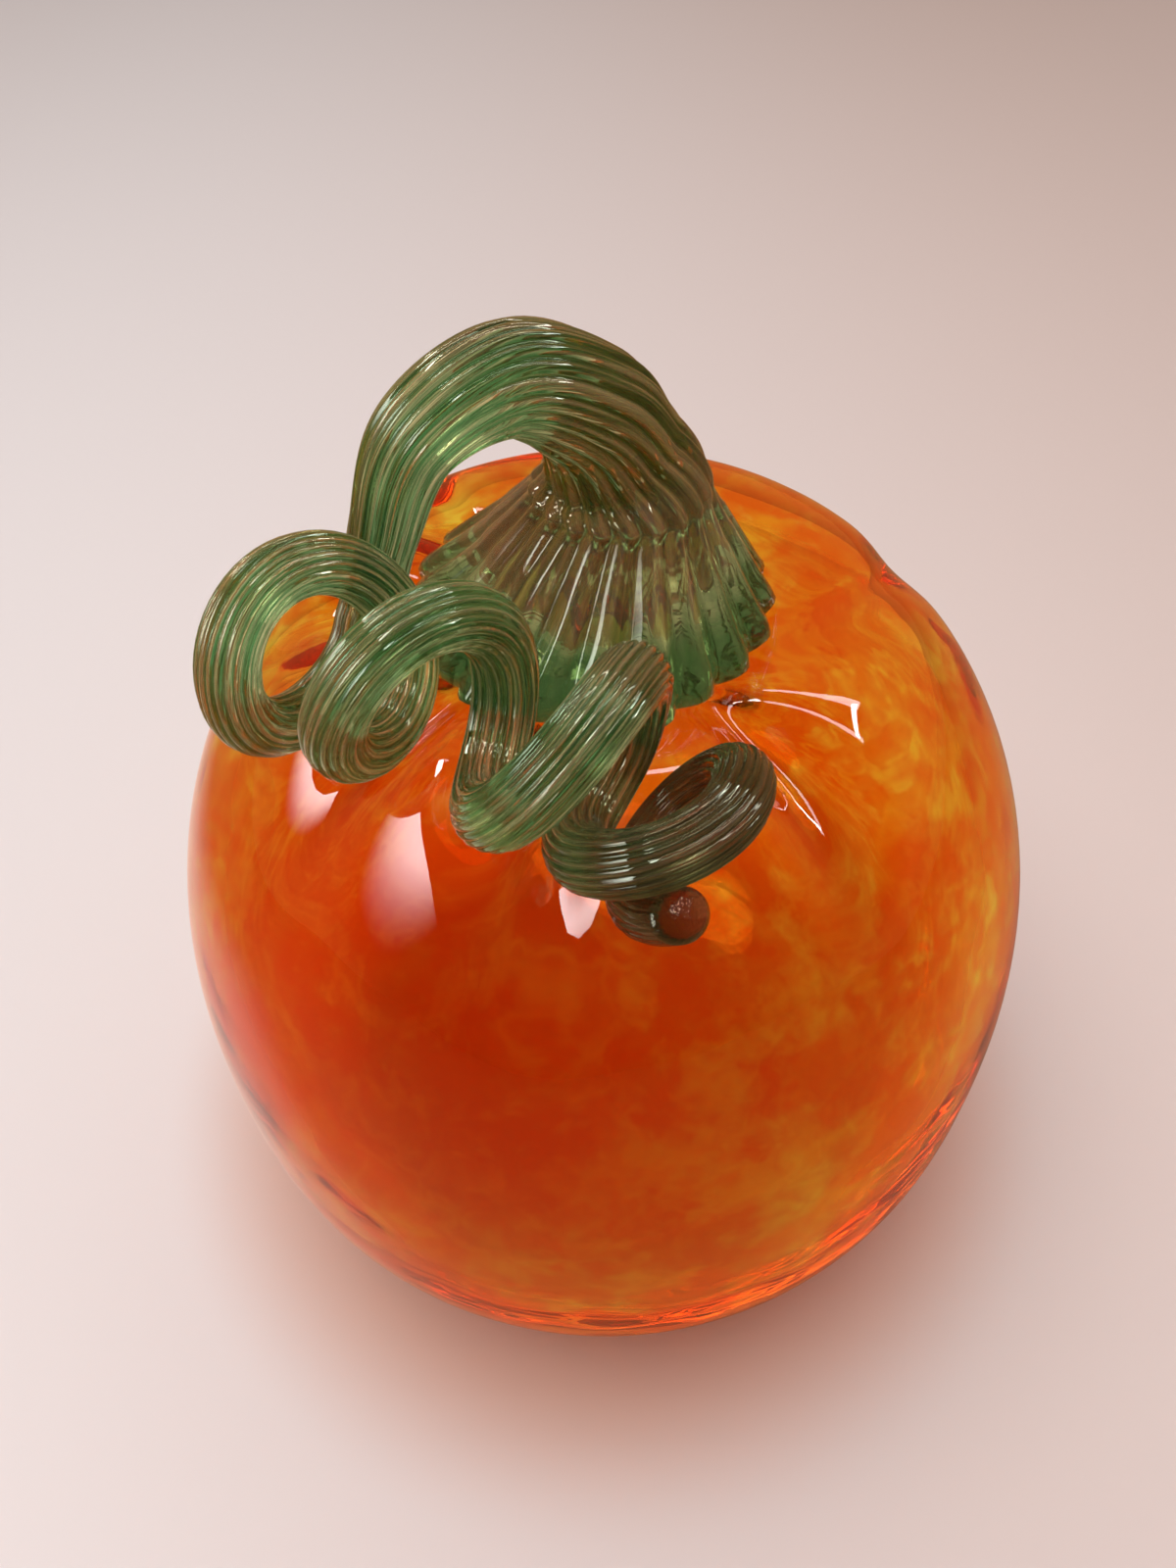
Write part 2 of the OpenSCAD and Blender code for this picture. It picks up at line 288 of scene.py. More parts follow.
# Camera, as the photograph was taken
PHOTO_W = 1200
PHOTO_H = 1600
FOCAL_PX = 1200
SENSOR_MM = 36
CAMERA_ELEVATION = math.radians(52)
CAMERA_DISTANCE = 0.235
CAMERA_ROLL = math.radians(-0.8)
CAMERA_TARGET = Vector((0, 0, 0.078))
TARGET_PX = (613, 875)
CLIP_START = 0.01


def mix(a, b, t):
    return a + (b - a) * t


def wrap(angle):
    return (angle + math.pi) % FULL_TURN - math.pi


def bump(t):
    return math.sin(math.pi * t) ** 2 if 0 < t < 1 else 0.0


def lookup(table, x):
    for (x0, y0), (x1, y1) in zip(table, table[1:]):
        if x <= x1:
            return mix(y0, y1, (x - x0) / (x1 - x0))
    return table[-1][1]


def spline(a, b, c, d, t):
    """Smooth curve through four neighbouring points, t from 0 at b to 1 at c."""
    return (2 * b + (c - a) * t + (2 * a - 5 * b + 4 * c - d) * t ** 2
            + (3 * b - a - 3 * c + d) * t ** 3) / 2


def route(points, x, before, after):
    """Smooth curve through a list of points, x from 0 at the first to len - 1 at the last."""
    last = len(points) - 1
    i = max(0, min(math.floor(x), last - 1))
    first = before if i == 0 else points[i - 1]
    end = after if i == last - 1 else points[i + 2]
    return spline(first, points[i], points[i + 1], end, x - i)


# Modelling by hand

def pick(obj):
    """Makes an object the only one selected, and the active one."""
    bpy.ops.object.select_all(action="DESELECT")
    obj.select_set(True)
    bpy.context.view_layer.objects.active = obj


def start_edit(obj):
    pick(obj)
    bpy.ops.object.mode_set(mode="EDIT")


def end_edit():
    bpy.ops.object.mode_set(mode="OBJECT")


def named(name):
    obj = bpy.context.active_object
    obj.name = name
    obj.data.name = name
    return obj


def extrude_to(step):
    bpy.ops.mesh.extrude_region_move(TRANSFORM_OT_translate={"value": step})


def close_mesh():
    """Merges doubles and turns the faces of the mesh in edit mode outwards."""
    bpy.ops.mesh.select_all(action="SELECT")
    bpy.ops.mesh.remove_doubles(threshold=MERGE)
    bpy.ops.mesh.normals_make_consistent(inside=False)


def keep_values(mesh, name, values):
    """Keeps a number at each point of a mesh, for its glass."""
    mesh.attributes.new(name, "FLOAT", "POINT").data.foreach_set("value", values)


def keep_threads(mesh, turns, lengths):
    """Keeps how the glass was drawn at each point: its place round the stem and along it."""
    flat = []
    for turn, length in zip(turns, lengths):
        flat += [math.cos(turn), math.sin(turn), length / THREAD_LENGTH]
    mesh.attributes.new(THREAD_MAP, "FLOAT_VECTOR", "POINT").data.foreach_set("vector", flat)


def smooth(obj):
    pick(obj)
    bpy.ops.object.shade_smooth()


# Body outline

def dome_height(r):
    share = max(0.0, 1 - (r / BODY_R) ** UPPER_POWER)
    return BELLY_Z + (DOME_Z - BELLY_Z) * share ** (1 / UPPER_POWER)


def hollow(r):
    """Depth of the hollow round the neck."""
    depth = dome_height(NECK_RIM_R) - NECK_Z
    share = max(0.0, HOLLOW_R - max(r, NECK_RIM_R)) / (HOLLOW_R - NECK_RIM_R)
    return depth * share ** 2


def shoulder(r):
    return dome_height(r) - hollow(r)


def upper_point(angle, inset, top_inset):
    r = (BODY_R - inset) * math.cos(angle) ** (2 / UPPER_POWER)
    rise = (DOME_Z - BELLY_Z - top_inset) * math.sin(angle) ** (2 / UPPER_POWER)
    return r, BELLY_Z + rise - hollow(r)


def lower_point(angle, inset, drop, power):
    r = (BODY_R - inset) * math.cos(angle) ** (2 / power)
    return r, BELLY_Z - drop * math.sin(angle) ** (2 / power)


def upper_angle(r, inset=0.0):
    share = min(1.0, r / (BODY_R - inset))
    return math.acos(share ** (UPPER_POWER / 2))


def skin_outline():
    """Half outline of the outside, from the middle of the foot to the opening in the neck."""
    foot_angle = math.acos((FOOT_R / BODY_R) ** (LOWER_POWER / 2))
    drop = BELLY_Z / math.sin(foot_angle) ** (2 / LOWER_POWER)
    rim_angle = upper_angle(NECK_RIM_R)
    outline = [(0.0, 0.0), (FOOT_R / 2, 0.0)]
    outline += [lower_point(foot_angle * (1 - i / LOWER_STEPS), 0, drop, LOWER_POWER)
                for i in range(LOWER_STEPS)]
    outline += [upper_point(rim_angle * i / UPPER_STEPS, 0, 0) for i in range(UPPER_STEPS + 1)]
    return outline + [(NECK_BORE_R, NECK_Z)]


def bubble_outline():
    """Half outline of the hollow, from the opening in the neck to the middle of its floor."""
    bore_angle = upper_angle(NECK_BORE_R, WALL)
    drop = BELLY_Z - FLOOR_WALL
    outline = [(NECK_BORE_R, NECK_Z)]
    outline += [upper_point(bore_angle * (1 - i / UPPER_STEPS), WALL, TOP_WALL)
                for i in range(UPPER_STEPS + 1)]
    outline += [lower_point(math.pi / 2 * i / LOWER_STEPS, WALL, drop, BUBBLE_POWER)
                for i in range(1, LOWER_STEPS)]
    return outline + [(0.0, FLOOR_WALL)]


def crease_depth(r, z, angle):
    """How deep a crease is pressed in at a point of the wall."""
    if z < BELLY_Z:
        return 0.0
    deepest = 0.0
    for n, (middle, low, depth, skew) in enumerate(CREASES):
        turn = middle if n else middle + SWING * (r - SWING_R)
        across = math.exp(-(wrap(angle - turn) / CREASE_SPREAD) ** 2)
        along = max(0.0, (upper_angle(r) - low) / (CREASE_HIGH - low))
        deepest = max(deepest, depth * across * bump(along ** skew))
    return deepest


def press_creases(mesh, share):
    middle = Vector((0, 0, BELLY_Z))
    for v in mesh.vertices:
        depth = crease_depth(math.hypot(v.co.x, v.co.y), v.co.z, math.atan2(v.co.y, v.co.x))
        v.co -= share * depth * (v.co - middle).normalized()


def spun(name, outline):
    """Spins a half outline round the upright axis."""
    bpy.ops.object.select_all(action="DESELECT")
    bpy.ops.mesh.primitive_plane_add(size=BODY_R)
    obj = named(name)
    start_edit(obj)
    bpy.ops.mesh.merge(type="CENTER")
    r, z = outline[0]
    bpy.ops.transform.translate(value=(r, 0, z))
    for (r0, z0), (r1, z1) in zip(outline, outline[1:]):
        extrude_to((r1 - r0, 0, z1 - z0))
    bpy.ops.mesh.select_all(action="SELECT")
    bpy.ops.mesh.spin(steps=SPIN_STEPS, angle=FULL_TURN, center=(0, 0, 0), axis=(0, 0, 1))
    bpy.ops.mesh.select_all(action="SELECT")
    bpy.ops.mesh.remove_doubles(threshold=MERGE)
    end_edit()
    return obj


def joined(name, *parts):
    bpy.ops.object.select_all(action="DESELECT")
    for part in parts:
        part.select_set(True)
    bpy.context.view_layer.objects.active = parts[0]
    bpy.ops.object.join()
    return named(name)


def blown_body():
    skin = spun("blown_skin", skin_outline())
    bubble = spun("blown_bubble", bubble_outline())
    press_creases(skin.data, 1)
    press_creases(bubble.data, INNER_CREASE)
    keep_values(skin.data, COAT_MAP, [1.0] * len(skin.data.vertices))
    keep_values(bubble.data, COAT_MAP, [0.0] * len(bubble.data.vertices))
    body = joined("blown_body", skin, bubble)
    start_edit(body)
    close_mesh()
    end_edit()
    smooth(body)
    return body


# Stem

def groove(angle):
    """0 on the crest of a rib and 1 in the groove between two ribs."""
    return 1 - abs(math.cos(RIBS * angle / 2))


def axis_point(share):
    before = 2 * CURL_AXIS[0] - CURL_AXIS[1]
    after = 2 * CURL_AXIS[-1] - CURL_AXIS[-2]
    return route(CURL_AXIS, share * (len(CURL_AXIS) - 1), before, after)


def curl_point(turn):
    """Point of the curl at a turn, with the radius of the vine as fourth value."""
    share = (turn - CURL_FIRST) / CURL_TURNS
    along = (axis_point(share + AXIS_NUDGE) - axis_point(share - AXIS_NUDGE)).normalized()
    up = (Vector((0, 0, 1)) - along.z * along).normalized()
    side = along.cross(up)
    spin = CURL_PHASE - FULL_TURN * turn
    out = math.cos(spin) * up + math.sin(spin) * side
    middle = axis_point(share) - lookup(CURL_RADII, share) * out
    return Vector((*middle, lookup(VINE_RADII, share)))


def stem_line():
    """Points along the arch and the curl, from the top of the crown to the tip."""
    points = ARCH_ROUTE + [curl_point(CURL_FIRST)]
    first, second = ARCH_ROUTE[:2]
    before = Vector((second.x, second.y, 2 * first.z - second.z, first.w))
    after = curl_point(CURL_FIRST + CURL_LEAD)
    arch_rings = (len(points) - 1) * ARCH_STEPS
    curl_rings = round(CURL_TURNS * CURL_STEPS)
    line = [route(points, i / ARCH_STEPS, before, after) for i in range(arch_rings)]
    line += [curl_point(CURL_FIRST + CURL_TURNS * i / curl_rings) for i in range(curl_rings + 1)]
    return [p + Vector((0, 0, NECK_Z, 0)) for p in line]


def fluted_ring():
    """Outline of the ribbed stem at a radius of one, as a closed curve."""
    bpy.ops.object.select_all(action="DESELECT")
    bpy.ops.mesh.primitive_circle_add(vertices=RING_SIDES, radius=1)
    ring = named("fluted_ring")
    for v in ring.data.vertices:
        v.co *= 1 - RIB_SHARE * groove(math.atan2(v.co.y, v.co.x))
    bpy.ops.object.convert(target="CURVE")
    return ring


def drawn_vine():
    """The arch and the curl, swept along the stem with a twist that eases as the glass is drawn thin."""
    ring = fluted_ring()
    line = stem_line()
    data = bpy.data.curves.new("drawn_vine", "CURVE")
    data.dimensions = "3D"
    data.bevel_mode = "OBJECT"
    data.bevel_object = ring
    path = data.splines.new("POLY")
    path.points.add(len(line) - 1)
    twist = 0.0
    lengths = [0.0]
    for i, p in enumerate(line):
        if i:
            step = (p - line[i - 1]).to_3d().length
            lengths.append(lengths[-1] + step)
            twist -= RIB_TWIST * step * (p.w / line[0].w) ** 2
        path.points[i].co = (p.x, p.y, p.z, 1)
        path.points[i].radius = p.w
        path.points[i].tilt = twist
    vine = bpy.data.objects.new("drawn_vine", data)
    bpy.context.scene.collection.objects.link(vine)
    pick(vine)
    bpy.ops.object.convert(target="MESH")
    bpy.data.objects.remove(ring)
    points = [v.co for v in vine.data.vertices]
    turns = [math.atan2(p.y - line[0].y, p.x - line[0].x) for p in points[:RING_SIDES]]
    keep_values(vine.data, RIB_MAP, [
        (1 - (p - line[n // RING_SIDES].to_3d()).length / line[n // RING_SIDES].w) / RIB_SHARE
        for n, p in enumerate(points)])
    drawn = [lengths[n // RING_SIDES] for n in range(len(points))]
    keep_threads(vine.data, turns * len(line), drawn)
    cut_tip(vine, line)
    return vine


def cut_tip(vine, line):
    """Melts the ribs at the end of the vine, shears it aslant and closes it with a low rounded face."""
    start_edit(vine)
    bpy.ops.mesh.select_all(action="DESELECT")
    bpy.ops.mesh.select_mode(type="VERT")
    end_edit()
    last = len(line) - 1
    for v in vine.data.vertices:
        ring = v.index // RING_SIDES
        v.select = ring == last
        if ring > last - TIP_RINGS:
            share = 1 - (last - ring) / TIP_RINGS
            middle = line[ring].to_3d()
            along = (line[ring] - line[ring - 1]).to_3d().normalized()
            near = (TIP_FACING - TIP_FACING.dot(along) * along).normalized()
            out = (v.co - middle).normalized()
            v.co = v.co.lerp(middle + line[ring].w * TIP_ROUND * out, share)
            reach = (v.co - middle).dot(near) + line[ring].w
            v.co -= TIP_SLANT * share * reach * along
    start_edit(vine)
    bpy.ops.mesh.edge_face_add()
    bpy.ops.mesh.inset(thickness=TIP_INSET)
    bpy.ops.transform.translate(value=TIP_BULGE * (along + TIP_SLANT * near).normalized())
    bpy.ops.mesh.poke()
    end_edit()
    ribs = vine.data.attributes[RIB_MAP].data
    for v in vine.data.vertices:
        if v.select:
            ribs[v.index].value = TIP_MARK


def drip_at(angle):
    return DRIP * max(math.exp(-(wrap(angle - d) / DRIP_SPREAD) ** 2) for d in DRIP_ANGLES)


def crown_outline():
    """Outline of the crown over the crests: radius, middle and height, from the arch to the plug."""
    rim_z = shoulder(RIM_R) + CROWN_LIP
    top_z = CROWN_TOP_Z - BRIDGE_GAP
    outline = []
    for i in range(CROWN_STEPS + 1):
        t = 1 - i / CROWN_STEPS
        radius = mix(ARCH_ROUTE[0].w, RIM_R, (1 - t) ** FLARE_POWER)
        outline.append((radius, mix(RIM_SHIFT, CROWN_LEAN, t), mix(rim_z, top_z, t)))
    outline.append((RIM_R + LIP_BULGE, RIM_SHIFT, rim_z - CROWN_LIP / 2))
    for i in range(UNDER_STEPS + 1):
        t = i / UNDER_STEPS
        radius = mix(RIM_R, NECK_RIM_R, t)
        outline.append((radius, RIM_SHIFT * (1 - t), shoulder(radius) + SEAT_GAP))
    outline.append((NECK_BORE_R - SEAT_GAP, 0.0, NECK_Z + SEAT_GAP))
    outline.append((NECK_BORE_R * PLUG_TAPER, 0.0, NECK_Z - PLUG_DEPTH))
    return outline


def crown_share(i):
    """How much of the ribs and drips a ring of the crown takes, by its place in the outline."""
    under = i - CROWN_STEPS - 2
    return 1.0 if under <= 0 else max(0.0, 1 - under / UNDER_STEPS)


def flute_crown(mesh, outline, phase):
    """Presses the ribs, the drips and the scalloped rim into the plain rings of the crown."""
    ribs = []
    turns = []
    lengths = []
    for n, v in enumerate(mesh.vertices):
        i = n // RING_SIDES
        radius, middle, height = outline[i]
        angle = math.atan2(v.co.y, v.co.x - middle)
        flare = (radius - ARCH_ROUTE[0].w) / (RIM_R - ARCH_ROUTE[0].w)
        share = crown_share(i)
        ribs.append(share * groove(angle - phase))
        turns.append(angle)
        lengths.append(height - outline[0][2])
        spread = max(0.0, flare) * (drip_at(angle) + RIM_SWELL * math.sin(angle))
        r = radius * (1 - share * RIB_SHARE * groove(angle - phase)) + share * spread
        x = r * math.cos(angle) + middle
        y = r * math.sin(angle)
        drop = shoulder(radius) - shoulder(math.hypot(x, y))
        melt = RIM_MELT * max(0.0, flare) ** 2 if i <= CROWN_STEPS else 0.0
        rise = (radius - r) * CROWN_SLOPE * melt
        v.co = (x, y, height - drop * max(0.0, flare) + rise if radius > NECK_RIM_R else height)
    keep_values(mesh, RIB_MAP, ribs)
    keep_threads(mesh, turns, lengths)


def ribbed_crown(phase):
    outline = crown_outline()
    radius, middle, height = outline[0]
    bpy.ops.object.select_all(action="DESELECT")
    bpy.ops.mesh.primitive_circle_add(vertices=RING_SIDES, radius=radius, location=(middle, 0, height))
    crown = named("ribbed_crown")
    bpy.ops.object.transform_apply(location=True)
    start_edit(crown)
    for (r0, x0, z0), (r1, x1, z1) in zip(outline, outline[1:]):
        extrude_to((x1 - x0, 0, z1 - z0))
        bpy.ops.transform.resize(value=(r1 / r0, r1 / r0, 1), center_override=(x1, 0, z1))
    end_edit()
    flute_crown(crown.data, outline, phase)
    start_edit(crown)
    bpy.ops.mesh.edge_face_add()
    end_edit()
    return crown


def rib_phase(vine):
    """Angle of a crest on the first ring of the vine, where the crown meets it."""
    first = ARCH_ROUTE[0]
    ring = [v.co for v in vine.data.vertices if abs(v.co.z - NECK_Z - first.z) < RING_SLACK]
    crest = max(ring, key=lambda p: math.hypot(p.x - first.x, p.y - first.y))
    return math.atan2(crest.y - first.y, crest.x - first.x)


def green_stem():
    vine = drawn_vine()
    crown = ribbed_crown(rib_phase(vine))
    stem = joined("green_stem", crown, vine)
    start_edit(stem)
    bpy.ops.mesh.select_all(action="DESELECT")
    bpy.ops.mesh.select_mode(type="EDGE")
    bpy.ops.mesh.select_non_manifold()
    bpy.ops.mesh.bridge_edge_loops()
    close_mesh()
    end_edit()
    smooth(stem)
    return stem


# Materials

def add_node(tree, kind, **values):
    """Adds a node and sets its inputs, where an underscore stands for a space."""
    made = tree.nodes.new(kind)
    for key, value in values.items():
        made.inputs[key.replace("_", " ")].default_value = value
    return made


def math_node(tree, operation, *values):
    made = tree.nodes.new("ShaderNodeMath")
    made.operation = operation
    for socket, value in zip(made.inputs, values):
        if isinstance(value, (int, float)):
            socket.default_value = value
        else:
            tree.links.new(value, socket)
    return made.outputs[0]


def blend_colors(tree, factor, first, second):
    made = tree.nodes.new("ShaderNodeMix")
    made.data_type = "RGBA"
    tree.links.new(factor, made.inputs["Factor"])
    for socket, value in zip(made.inputs[COLOR_INPUTS], (first, second)):
        if isinstance(value, tuple):
            socket.default_value = (*value, 1)
        else:
            tree.links.new(value, socket)
    return made.outputs[COLOR_OUTPUT]


def ramp(tree, value, low, high, at_low=0, at_high=1):
    made = tree.nodes.new("ShaderNodeMapRange")
    made.interpolation_type = "SMOOTHSTEP"
    made.inputs["From Min"].default_value = low
    made.inputs["From Max"].default_value = high
    made.inputs["To Min"].default_value = at_low
    made.inputs["To Max"].default_value = at_high
    tree.links.new(value, made.inputs["Value"])
    return made.outputs["Result"]


def new_group(name, inputs, outputs):
    tree = bpy.data.node_groups.new(name, "ShaderNodeTree")
    for direction, sockets in (("INPUT", inputs), ("OUTPUT", outputs)):
        for socket, kind in sockets:
            tree.interface.new_socket(name=socket, in_out=direction, socket_type="NodeSocket" + kind)
    return tree, tree.nodes.new("NodeGroupInput"), tree.nodes.new("NodeGroupOutput")


def colour_veils():
    """Veins and clouds of colour that were drawn out while the glass was soft."""
    tree, given, put = new_group(
        "colour_veils",
        [("Vector", "Vector"), ("Scale", "Float"), ("Warp", "Float"), ("Width", "Float")],
        [("Veins", "Float"), ("Clouds", "Float")])
    swirl = add_node(tree, "ShaderNodeTexNoise", Detail=SWIRL_DETAIL)
    tree.links.new(given.outputs["Vector"], swirl.inputs["Vector"])
    tree.links.new(given.outputs["Scale"], swirl.inputs["Scale"])
    pull = tree.nodes.new("ShaderNodeVectorMath")
    pull.operation = "SCALE"
    tree.links.new(swirl.outputs["Color"], pull.inputs[0])
    tree.links.new(given.outputs["Warp"], pull.inputs["Scale"])
    moved = tree.nodes.new("ShaderNodeVectorMath")
    moved.operation = "ADD"
    tree.links.new(given.outputs["Vector"], moved.inputs[0])
    tree.links.new(pull.outputs[0], moved.inputs[1])
    cells = tree.nodes.new("ShaderNodeTexVoronoi")
    cells.feature = "DISTANCE_TO_EDGE"
    tree.links.new(moved.outputs[0], cells.inputs["Vector"])
    tree.links.new(given.outputs["Scale"], cells.inputs["Scale"])
    edge = math_node(tree, "DIVIDE", cells.outputs["Distance"], given.outputs["Width"])
    tree.links.new(math_node(tree, "SUBTRACT", 1, ramp(tree, edge, 0, 1)), put.inputs["Veins"])
    wider = math_node(tree, "MULTIPLY", given.outputs["Scale"], CLOUD_SCALE)
    clouds = add_node(tree, "ShaderNodeTexNoise", Detail=CLOUD_DETAIL)
    tree.links.new(moved.outputs[0], clouds.inputs["Vector"])
    tree.links.new(wider, clouds.inputs["Scale"])
    tree.links.new(ramp(tree, clouds.outputs["Fac"], CLOUD_LOW, CLOUD_HIGH), put.inputs["Clouds"])
    return tree


def hand_polish():
    """Slow waves that a wooden block and the flame leave on the skin of the glass."""
    tree, given, put = new_group(
        "hand_polish",
        [("Vector", "Vector"), ("Scale", "Float"), ("Height", "Float")],
        [("Normal", "Vector")])
    waves = add_node(tree, "ShaderNodeTexNoise", Detail=WAVE_DETAIL)
    tree.links.new(given.outputs["Vector"], waves.inputs["Vector"])
    tree.links.new(given.outputs["Scale"], waves.inputs["Scale"])
    raised = add_node(tree, "ShaderNodeBump", Strength=1.0)
    tree.links.new(waves.outputs["Fac"], raised.inputs["Height"])
    tree.links.new(given.outputs["Height"], raised.inputs["Distance"])
    tree.links.new(raised.outputs["Normal"], put.inputs["Normal"])
    return tree


def use_group(tree, group, vector, **values):
    made = tree.nodes.new("ShaderNodeGroup")
    made.node_tree = group
    tree.links.new(vector, made.inputs["Vector"])
    for key, value in values.items():
        made.inputs[key].default_value = value
    return made


def glass_material(name, clarity, gloss, tint, density):
    """Glass whose colour deepens with its thickness."""
    mat = bpy.data.materials.new(name)
    mat.use_nodes = True
    tree = mat.node_tree
    tree.nodes.clear()
    out = tree.nodes.new("ShaderNodeOutputMaterial")
    glass = add_node(tree, "ShaderNodeBsdfPrincipled", Roughness=0.0, IOR=GLASS_IOR,
                     Transmission_Weight=clarity, Specular_Tint=(*gloss, 1))
    tree.links.new(glass.outputs["BSDF"], out.inputs["Surface"])
    depth = add_node(tree, "ShaderNodeVolumeAbsorption", Color=(*tint, 1), Density=density)
    tree.links.new(depth.outputs["Volume"], out.inputs["Volume"])
    place = tree.nodes.new("ShaderNodeTexCoord")
    return mat, glass, place.outputs["Object"]


def orange_glass(veils, polish):
    mat, glass, place = glass_material(
        "orange_glass", ORANGE_CLARITY, ORANGE_GLOSS, ORANGE_TINT, ORANGE_DENSITY)
    tree = mat.node_tree
    coat = tree.nodes.new("ShaderNodeAttribute")
    coat.attribute_name = COAT_MAP
    veil = use_group(tree, veils, place, **WISP_VEIL)
    mist = use_group(tree, veils, place, **WISP_MIST)
    cloud = use_group(tree, veils, place, **WARM_CLOUD)
    away = tree.nodes.new("ShaderNodeVectorMath")
    away.operation = "DISTANCE"
    away.inputs[1].default_value = RED_MIDDLE
    tree.links.new(place, away.inputs[0])
    thin = ramp(tree, away.outputs["Value"], RED_NEAR, RED_FAR)
    clouded = math_node(tree, "MULTIPLY_ADD", cloud.outputs["Clouds"], 1 - WARM_LEAST, WARM_LEAST)
    warm = math_node(tree, "MULTIPLY", thin, clouded)
    split = tree.nodes.new("ShaderNodeSeparateXYZ")
    tree.links.new(place, split.inputs["Vector"])
    upper = ramp(tree, split.outputs["Z"], WISPS_LOW, WISPS_HIGH, WISPS_LEAST, 1)
    drawn = math_node(tree, "MULTIPLY_ADD", veil.outputs["Veins"], STROKES, SOFT_WISPS)
    wisps = math_node(tree, "MULTIPLY", drawn, mist.outputs["Clouds"])
    shown = math_node(tree, "MAXIMUM", thin, RED_WISPS)
    amber = math_node(tree, "MULTIPLY", wisps, math_node(tree, "MULTIPLY", shown, upper))
    # Darker orange on the left as painted shade, warmer on the right
    across = ramp(tree, split.outputs["X"], -BODY_R, BODY_R)
    body = blend_colors(tree, warm, RED_ORANGE, blend_colors(tree, across, SHADED_WARM_LEFT, WARM_RIGHT))
    coated = blend_colors(tree, amber, body, AMBER)
    layer = tree.nodes.new("ShaderNodeGamma")
    tree.links.new(coated, layer.inputs["Color"])
    share = ramp(tree, coat.outputs["Fac"], 0, 1, LINING_SHARE, SKIN_SHARE)
    tree.links.new(share, layer.inputs["Gamma"])
    tree.links.new(layer.outputs["Color"], glass.inputs["Base Color"])
    wave = use_group(tree, polish, place, **BODY_WAVE)
    tree.links.new(wave.outputs["Normal"], glass.inputs["Normal"])
    return mat


def green_glass(veils, polish):
    mat, glass, place = glass_material(
        "green_glass", GREEN_CLARITY, GREEN_GLOSS, GREEN_TINT, GREEN_DENSITY)
    tree = mat.node_tree
    ribs = tree.nodes.new("ShaderNodeAttribute")
    ribs.attribute_name = RIB_MAP
    threads = tree.nodes.new("ShaderNodeAttribute")
    threads.attribute_name = THREAD_MAP
    cloud = use_group(tree, veils, place, **GREEN_CLOUD)
    thread = use_group(tree, veils, threads.outputs["Vector"], **GREEN_THREAD)
    deep = blend_colors(tree, cloud.outputs["Clouds"], BOTTLE_GREEN, LEAF_GREEN)
    drawn = blend_colors(tree, thread.outputs["Clouds"], deep, PALE_GREEN)
    # Painted shade: the grooves between the ribs turn deep green
    groove_shade = ramp(tree, ribs.outputs["Fac"], GROOVE_SHADE_FROM, GROOVE_SHADE_TO)
    ribbed = blend_colors(tree, groove_shade, drawn, deep)
    split = tree.nodes.new("ShaderNodeSeparateXYZ")
    tree.links.new(threads.outputs["Vector"], split.inputs["Vector"])
    crown = ramp(tree, split.outputs["Z"], 0, CROWN_END, CROWN_SHARE, 0)
    paled = blend_colors(tree, crown, ribbed, CROWN_PALE)
    rim = ramp(tree, split.outputs["Z"], RIM_TO, RIM_FROM, RIM_SHARE, 0)
    rimmed = blend_colors(tree, rim, paled, BOTTLE_GREEN)
    # Painted shade: the end of the vine and its tip face darken to brown near the body
    tail_shade = ramp(tree, split.outputs["Z"], TAIL_FROM, TAIL_TO, 0, TAIL_SHARE)
    ended = blend_colors(tree, tail_shade, rimmed, TAIL_SHADE_BROWN)
    tip_shade = ramp(tree, ribs.outputs["Fac"], TIP_EDGE, TIP_MARK)
    tree.links.new(blend_colors(tree, tip_shade, ended, TIP_SHADE_BROWN), glass.inputs["Base Color"])
    wave = use_group(tree, polish, threads.outputs["Vector"], **STEM_WAVE)
    tree.links.new(wave.outputs["Normal"], glass.inputs["Normal"])
    return mat


